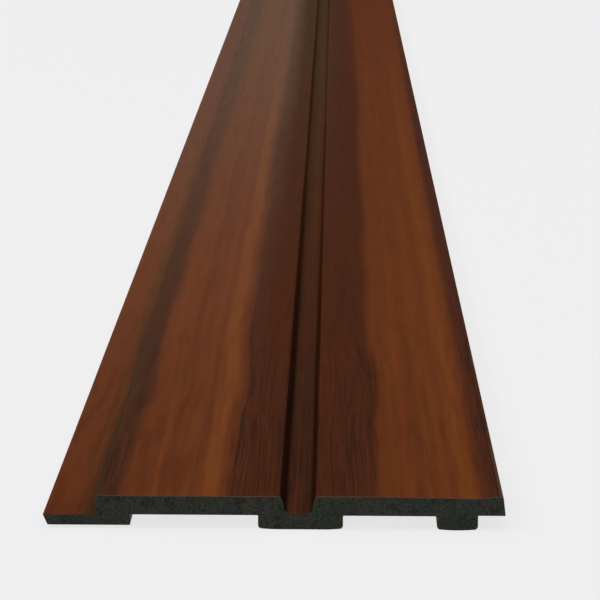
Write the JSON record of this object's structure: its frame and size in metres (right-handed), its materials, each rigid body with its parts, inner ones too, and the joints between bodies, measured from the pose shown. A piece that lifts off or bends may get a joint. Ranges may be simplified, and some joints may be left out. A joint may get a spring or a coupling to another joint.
{
  "type": "wall panel",
  "caption": "Long shiplap wall cladding board with two slats, a round-bottomed groove between them, a lip and an overhang, woodgrain face on a dark foamed core",
  "frame": {"origin": "centre of the panel's width and length, on the plane that the boss and the foot stand on", "axes": "+Y along the panel, away from the end that the picture shows; +X towards the overhang, so the lip is at -X; +Z out of the face"},
  "size_m": [0.16, 2.9, 0.0125],
  "materials": {
    "foam_core": "matt, finely porous where sawn",
    "woodgrain_film": "satin, printed and embossed woodgrain"
  },
  "bodies": {
    "root": {"foam_core": "foam_core", "woodgrain_film": "woodgrain_film"}
  },
  "joints": []
}
